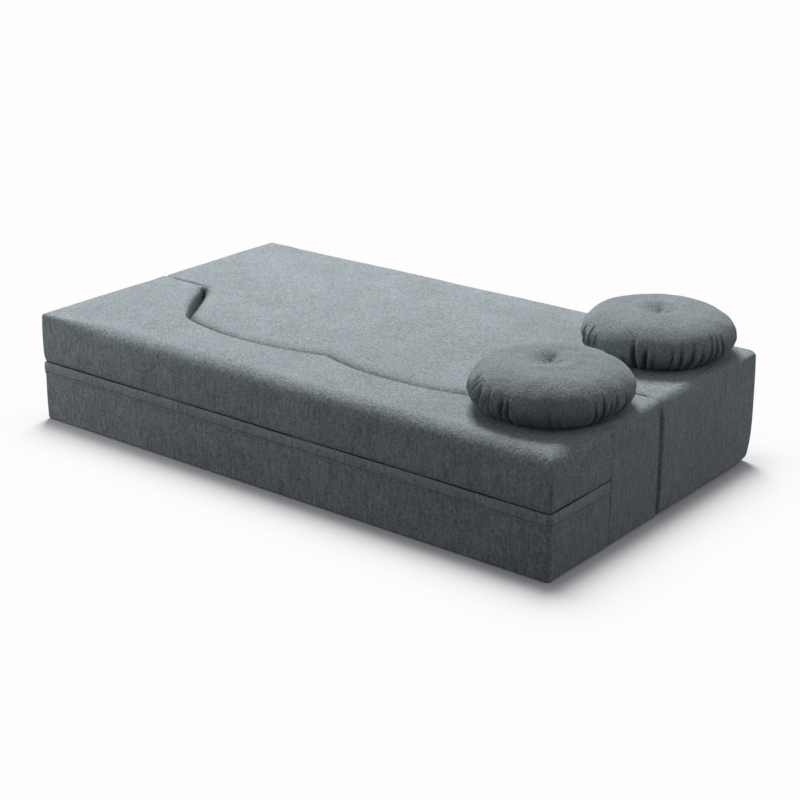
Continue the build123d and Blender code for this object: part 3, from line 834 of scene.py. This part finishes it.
def offset_times(tree, value, factor):
    """A noise value less its middle, times a factor."""
    return times(tree, math_node(tree, "SUBTRACT", value, 0.5), factor)


def total_of(tree, *values):
    """Sum of several sockets or numbers."""
    total = values[0]
    for value in values[1:]:
        total = math_node(tree, "ADD", total, value)
    return total


def blend(tree, factor, a, b):
    """Mixes two colours, each a socket or a plain colour."""
    return add(tree, "ShaderNodeMix", data_type="RGBA", Factor=factor, A=a, B=b).outputs["Result"]


def pile_group():
    """Short chenille pile: mottled grain, upright brushed streaks and broad shaded patches.

    Shade is 0.5 on average and Height feeds a Bump node. Both are sums of noise at the pile's sizes:
    tufts Grain to the metre, flecks at 430, and streaks of another noise that is drawn out upwards.
    """
    group, inner, outer = new_group(
        "Short pile",
        [("Grain", "NodeSocketFloat", 130.0), ("Streak", "NodeSocketFloat", 0.4),
         ("Patch", "NodeSocketFloat", 0.4), ("Rib", "NodeSocketFloat", 0.0)],
        [("Shade", "NodeSocketFloat"), ("Height", "NodeSocketFloat"), ("Nap", "NodeSocketFloat")],
    )
    inner = inner.outputs
    place = group.nodes.new("ShaderNodeTexCoord").outputs["Object"]
    tuft = noise(group, place, inner["Grain"], 4.0, 0.68)
    fleck = noise(group, place, 430.0, 2.0, 0.6)
    drawn = vector_node(group, "MULTIPLY", place, (1.0, 1.0, 0.16))["Vector"]
    streak = noise(group, drawn, 155.0, 2.0, 0.6)
    patch = noise(group, place, 4.5, 3.0, 0.6)
    cloud = noise(group, place, 24.0, 2.0, 0.55)
    ribs = {"Vector": place, "Scale": 31.0, "Distortion": 9.0, "Detail": 2.0, "Detail Scale": 2.2,
            "bands_direction": "DIAGONAL"}
    rib = offset_times(group, add(group, "ShaderNodeTexWave", **ribs).outputs["Fac"], inner["Rib"])
    brushed = offset_times(group, streak, inner["Streak"])
    shade = total_of(
        group, 0.5, offset_times(group, tuft, 1.9), offset_times(group, fleck, 0.8), brushed,
        offset_times(group, patch, inner["Patch"]),
        times(group, offset_times(group, cloud, inner["Patch"]), 0.7), times(group, rib, 0.35),
    )
    height = total_of(group, tuft, times(group, fleck, 0.45), times(group, brushed, 1.2), rib)
    nap = total_of(group, 0.9, offset_times(group, tuft, 0.3))
    set_values(outer, {"Shade": shade, "Height": height, "Nap": nap})
    return group


def stitch_group():
    """Row of stitches on a flap's own UV map, whose u is the length along it and v the height.

    A stitch shows where v lies within half a thread of the row and u's part of the stitch length is
    below the share that thread covers. Groove is the soft hollow that the row pulls in.
    """
    group, inner, outer = new_group(
        "Stitch row",
        [("Row height", "NodeSocketFloat", 0.1672), ("Stitch length", "NodeSocketFloat", 0.0055)],
        [("Thread", "NodeSocketFloat"), ("Groove", "NodeSocketFloat")],
    )
    flat = add(group, "ShaderNodeUVMap", uv_map="flap").outputs["UV"]
    place = add(group, "ShaderNodeSeparateXYZ", Vector=flat).outputs
    off = math_node(group, "SUBTRACT", place["Y"], inner.outputs["Row height"])
    off = math_node(group, "ABSOLUTE", off)
    along = math_node(group, "DIVIDE", place["X"], inner.outputs["Stitch length"])
    half_thread, covered, groove_reach = 0.0006, 0.72, 0.0022
    stitch = math_node(group, "LESS_THAN", math_node(group, "FRACT", along), covered)
    thread = times(group, math_node(group, "LESS_THAN", off, half_thread), stitch)
    groove = math_node(group, "SUBTRACT", 1.0, math_node(group, "DIVIDE", off, groove_reach), clamp=True)
    set_values(outer, {"Thread": thread, "Groove": groove})
    return group


def scaled(colour, factor):
    """A plain colour made lighter or darker."""
    return tuple(factor * c for c in colour)


def pile_material(name, colour, nap=True):
    """Pile cloth: the colour lightened and darkened by the pile, with its bump and a soft sheen."""
    contrast, grain, streak, patch, depth, rib = PILES[name]
    material = bpy.data.materials.new(name)
    material.use_nodes = True
    tree = material.node_tree
    group = bpy.data.node_groups.get("Short pile") or pile_group()
    values = {"Grain": grain, "Streak": streak, "Patch": patch, "Rib": rib}
    pile = add(tree, "ShaderNodeGroup", name="pile", node_tree=group, **values).outputs
    bump = add(tree, "ShaderNodeBump", name="bump", Strength=0.8, Distance=depth, Height=pile["Height"])
    set_values(tree.nodes["Principled BSDF"], {
        "Base Color": blend(tree, pile["Shade"], scaled(colour, 1 - contrast), scaled(colour, 1 + contrast)),
        "Normal": bump.outputs["Normal"], "Specular IOR Level": 0.2,
        "Sheen Weight": 0.2, "Sheen Roughness": 0.5, "Sheen Tint": (0.75, 0.82, 0.86),
    })
    if nap:
        put(tree.nodes["Principled BSDF"].inputs["Roughness"], pile["Nap"])
    return material


def tint_by(tree, amount, colour):
    """Blends what feeds Base Color with a colour by a mask."""
    socket = tree.nodes["Principled BSDF"].inputs["Base Color"]
    put(socket, blend(tree, amount, socket.links[0].from_socket, colour))


def read_attribute(tree, name):
    """Value of a piece's own attribute."""
    return add(tree, "ShaderNodeAttribute", attribute_name=name).outputs["Fac"]


# ---------------------------------------------------------------- stage


def seen_directly(tree):
    """1 for a ray from the camera, or one that glossy or clear matter sent on, otherwise 0."""
    rays = tree.nodes.new("ShaderNodeLightPath").outputs
    seen = math_node(tree, "MAXIMUM", rays["Is Camera Ray"], rays["Is Glossy Ray"])
    return math_node(tree, "MAXIMUM", seen, rays["Is Transmission Ray"])


def mix_shaders(tree, factor, first, second):
    """Mixes two shader nodes by a factor."""
    mix = tree.nodes.new("ShaderNodeMixShader")
    put(mix.inputs[2], second.outputs[0])
    return on_two(mix, factor, first.outputs[0])[0]


def distance_outside(tree):
    """Distance of a floor point from the blocks' footprint.

    It is the length of the part of (|x| - half width, |y| - depth) above zero.
    """
    aside = vector_node(tree, "ABSOLUTE", tree.nodes.new("ShaderNodeTexCoord").outputs["Object"])["Vector"]
    aside = vector_node(tree, "SUBTRACT", aside, (HALF_WIDTH, DEPTH, 0))["Vector"]
    return vector_node(tree, "LENGTH", vector_node(tree, "MAXIMUM", aside)["Vector"])["Value"]


def make_floor(bounce):
    """Plain floor: white to the camera, with the object's shadow kept near it, and a grey bounce.

    At a distance d from the blocks' footprint the share of plain white is
    FADE_GAIN * (1 - 1 / (1 + (d / FADE_REACH)^FADE_POWER)).
    """
    size = 30.0
    corners = np.array([(-size, -size, 0), (size, -size, 0), (size, size, 0), (-size, size, 0)])
    floor = new_object("floor", corners, np.array([(0, 1, 2, 3)]))
    material = bpy.data.materials.new("Floor")
    material.use_nodes = True
    tree = material.node_tree
    seen = seen_directly(tree)
    lit = blend(tree, seen, (bounce, bounce, bounce), (0.96, 0.95, 0.955))
    shader = set_values(tree.nodes["Principled BSDF"],
                        {"Base Color": lit, "Roughness": 1.0, "Specular IOR Level": 0.0})
    glow = add(tree, "ShaderNodeEmission", Color=(1.0, 0.99, 0.995), Strength=times(tree, seen, 0.03))
    both = tree.nodes.new("ShaderNodeAddShader")
    on_two(both, shader.outputs[0], glow.outputs[0])
    far = math_node(tree, "DIVIDE", distance_outside(tree), FADE_REACH)
    far = math_node(tree, "ADD", math_node(tree, "POWER", far, FADE_POWER), 1.0)
    far = math_node(tree, "SUBTRACT", 1.0, math_node(tree, "DIVIDE", 1.0, far))
    far = math_node(tree, "MULTIPLY", far, FADE_GAIN, clamp=True)
    white = add(tree, "ShaderNodeEmission", Color=(0.995, 0.975, 0.985), Strength=1.0)
    put(tree.nodes["Material Output"].inputs["Surface"], mix_shaders(tree, times(tree, far, seen), both, white))
    floor.data.materials.append(material)


def make_world(strength):
    """Even light from all round, shown as white behind the floor."""
    world = bpy.data.worlds.new("Studio")
    bpy.context.scene.world = world
    world.use_nodes = True
    tree = world.node_tree
    back = set_values(tree.nodes["Background"], {"Color": (0.95, 0.96, 1.06), "Strength": strength})
    white = add(tree, "ShaderNodeBackground", Color=(1, 1, 1), Strength=1.0)
    put(tree.nodes["World Output"].inputs["Surface"], mix_shaders(tree, seen_directly(tree), back, white))


def point_along(name, data, place, way):
    """Object at a place that looks along a way, with its top up."""
    holder = bpy.data.objects.new(name, data)
    bpy.context.scene.collection.objects.link(holder)
    holder.location = place
    holder.rotation_mode = "QUATERNION"
    holder.rotation_quaternion = Vector(way).to_track_quat("-Z", "Y")
    return holder


def make_lamp(name, place, aim, side, power):
    """Square area lamp at a place, turned to an aim."""
    lamp = bpy.data.lights.new(name, "AREA")
    lamp.shape = "RECTANGLE"
    lamp.size = lamp.size_y = side
    lamp.energy = power
    point_along(name, lamp, place, np.array(aim) - np.array(place))


def make_camera():
    """Camera at the place, turn and lens found from the photograph's outline."""
    azimuth, elevation = map(math.radians, CAMERA_TURN)
    level = math.cos(elevation)
    way = np.array((-math.sin(azimuth) * level, math.cos(azimuth) * level, -math.sin(elevation)))
    data = bpy.data.cameras.new("camera")
    data.sensor_width = 36.0
    data.lens = CAMERA_LENS
    data.clip_start, data.clip_end = 0.05, 200.0
    bpy.context.scene.camera = point_along("camera", data, CAMERA_PLACE, way)


# ---------------------------------------------------------------- settings


class ChenilleSettings(bpy.types.PropertyGroup):
    """Colour and pile of the sofa bed's covers."""

    colour: FloatVectorProperty(
        name="Cover colour", description="Base colour of the chenille covers, linear",
        subtype="COLOR", size=3, default=(0.385, 0.437, 0.452), min=0, max=1,
    )
    pillow_colour: FloatVectorProperty(
        name="Pillow colour", description="Base colour of the pillow cloth, linear",
        subtype="COLOR", size=3, default=(0.336, 0.379, 0.396), min=0, max=1,
    )


class StageSettings(bpy.types.PropertyGroup):
    """Lamps, fill light and floor."""

    lamp_power: FloatProperty(name="Overhead lamp", description="Power of the large overhead lamp in watts",
                              default=318.0, min=0)
    side_power: FloatProperty(name="Side lamps", description="Power of the left lamp in watts",
                              default=6.4, min=0)
    world_strength: FloatProperty(name="Fill", description="Strength of the plain fill light from all round",
                                  default=0.150, min=0)
    floor_bounce: FloatProperty(name="Floor bounce", description="Grey of the floor as the object sees it",
                                default=0.12, min=0, max=1)


# ---------------------------------------------------------------- operators


class SOFABED_OT_block_covers(bpy.types.Operator):
    """Make the upholstered covers of the seat block and the back block"""

    bl_idname = "sofabed.block_covers"
    bl_label = "Block covers"

    def execute(self, context):
        colour = tuple(context.scene.sofabed_chenille.colour)
        chenille = pile_material("Chenille", colour)
        tree = chenille.node_tree
        tint_by(tree, times(tree, read_attribute(tree, "plain_panel"), 0.15), scaled(colour, 1.06))
        # Dark seam lines on the end panels, and painted shade in the seat tongue's crevice.
        tint_by(tree, times(tree, read_attribute(tree, "seam_and_crevice_shade"), 0.55), SEAM_AND_CREVICE_SHADE)
        convex = tree.nodes.new("ShaderNodeNewGeometry").outputs["Pointiness"]
        worn = {"Value": convex, "From Min": 0.505, "From Max": 0.56, "To Max": 0.10}
        worn = add(tree, "ShaderNodeMapRange", **worn).outputs["Result"]
        tint_by(tree, worn, scaled(colour, 1.3))
        base = pile_material("Base cloth", BASE_COLOUR)
        make_seat_cover(chenille, base)
        make_back_cover(chenille, base)
        return {"FINISHED"}


class SOFABED_OT_zip_flaps(bpy.types.Operator):
    """Make the fabric flaps over the zips of both blocks"""

    bl_idname = "sofabed.zip_flaps"
    bl_label = "Zip flaps"

    def execute(self, context):
        colour = tuple(context.scene.sofabed_chenille.colour)
        cloth = pile_material("Flap chenille", scaled(colour, 1.08))
        tree = cloth.node_tree
        row = add(tree, "ShaderNodeGroup", node_tree=stitch_group()).outputs
        tint_by(tree, times(tree, row["Groove"], 0.45), GROOVE_SHADE)
        tint_by(tree, row["Thread"], scaled(colour, 0.75))
        sunk, raised = times(tree, row["Groove"], -0.9), times(tree, row["Thread"], 0.5)
        height = total_of(tree, tree.nodes["pile"].outputs["Height"], sunk, raised)
        put(tree.nodes["bump"].inputs["Height"], height)
        outline = back_outline(np.zeros((ARM + CORNER + FRONT) * 2 - 1))
        kept = outline[outline[:, 1] < -END_PANEL]
        make_flap("back_zip_flap_strip", kept, normals_facing(kept, -1), "back_block", "back_zip_flap", cloth)
        x = np.linspace(-SEAT_ZIP_HALF, SEAT_ZIP_HALF, 300)
        path = np.stack([x, np.full(300, DEPTH)], axis=1)
        facing = np.tile([0.0, 1.0], (300, 1))
        make_flap("seat_zip_flap_strip", path, facing, "seat_block", "seat_zip_flap", cloth)
        return {"FINISHED"}


class SOFABED_OT_pillows(bpy.types.Operator):
    """Make the two round gathered pillows"""

    bl_idname = "sofabed.pillows"
    bl_label = "Pillows"

    def execute(self, context):
        colour = tuple(context.scene.sofabed_chenille.pillow_colour)
        cloth = pile_material("Pillow cloth", colour)
        tree = cloth.node_tree
        # Painted shade in the gathers' creases and under the pillows, read from the gather attribute.
        tint_by(tree, times(tree, read_attribute(tree, "gather"), 0.95), scaled(colour, 0.35))
        for row in PILLOWS:
            make_pillow(*row, cloth)
        return {"FINISHED"}


class SOFABED_OT_hardware(bpy.types.Operator):
    """Give the zips and the fabric hinge their finishes"""

    bl_idname = "sofabed.hardware"
    bl_label = "Zips and hinge"

    def execute(self, context):
        colour = context.scene.sofabed_chenille.colour
        webbing = pile_material("Hinge webbing", scaled(colour, 0.85))
        tape = pile_material("Zip tape", TAPE_COLOUR)
        chain = pile_material("Zip chain", CHAIN_COLOUR, nap=False)
        metal = pile_material("Zip metal", METAL_COLOUR, nap=False)
        set_values(chain.node_tree.nodes["Principled BSDF"], {"Roughness": 0.35})
        set_values(metal.node_tree.nodes["Principled BSDF"],
                   {"Metallic": 1.0, "Roughness": 0.3, "Sheen Weight": 0.0})
        finishes = {"hinge_": webbing, "_zip_tapes": tape, "_zip_chain": chain,
                    "_zip_stops": metal, "_zip_slider": metal, "_zip_pull": metal}
        for node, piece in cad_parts.items():
            for part, material in finishes.items():
                if part in node:
                    for slot in piece.material_slots:
                        slot.material = material
        return {"FINISHED"}


class SOFABED_OT_stage(bpy.types.Operator):
    """Make the floor, the lamps, the world and the camera"""

    bl_idname = "sofabed.stage"
    bl_label = "Stage"

    def execute(self, context):
        look = context.scene.sofabed_stage
        scene = context.scene
        scene.view_settings.view_transform = "Standard"
        make_floor(look.floor_bounce)
        make_world(look.world_strength)
        for name, place, aim, side, setting, share in LAMPS:
            make_lamp(name, place, aim, side, getattr(look, setting) * share)
        make_camera()
        return {"FINISHED"}


class SOFABED_PT_panel(bpy.types.Panel):
    """Sofa bed tools"""

    bl_idname = "SOFABED_PT_panel"
    bl_label = "Folding sofa bed"
    bl_space_type = "VIEW_3D"
    bl_region_type = "UI"
    bl_category = "Sofa bed"

    def draw(self, context):
        column = self.layout.column()
        for group in (context.scene.sofabed_chenille, context.scene.sofabed_stage):
            for name in group.__annotations__:
                column.prop(group, name)
        for operator in OPERATORS:
            column.operator(operator.bl_idname)


OPERATORS = (
    SOFABED_OT_block_covers,
    SOFABED_OT_zip_flaps,
    SOFABED_OT_pillows,
    SOFABED_OT_hardware,
    SOFABED_OT_stage,
)
CLASSES = (ChenilleSettings, StageSettings, *OPERATORS, SOFABED_PT_panel)


def register():
    """Registers the classes and the settings kept in the scene."""
    for cls in CLASSES:
        bpy.utils.register_class(cls)
    bpy.types.Scene.sofabed_chenille = PointerProperty(type=ChenilleSettings)
    bpy.types.Scene.sofabed_stage = PointerProperty(type=StageSettings)


def unregister():
    """Takes the settings and the classes away again."""
    del bpy.types.Scene.sofabed_stage
    del bpy.types.Scene.sofabed_chenille
    for cls in reversed(CLASSES):
        bpy.utils.unregister_class(cls)


def main():
    """Makes every piece in order."""
    register()
    bpy.ops.sofabed.block_covers()
    bpy.ops.sofabed.zip_flaps()
    bpy.ops.sofabed.pillows()
    bpy.ops.sofabed.hardware()
    bpy.ops.sofabed.stage()


if __name__ == "__main__":
    main()
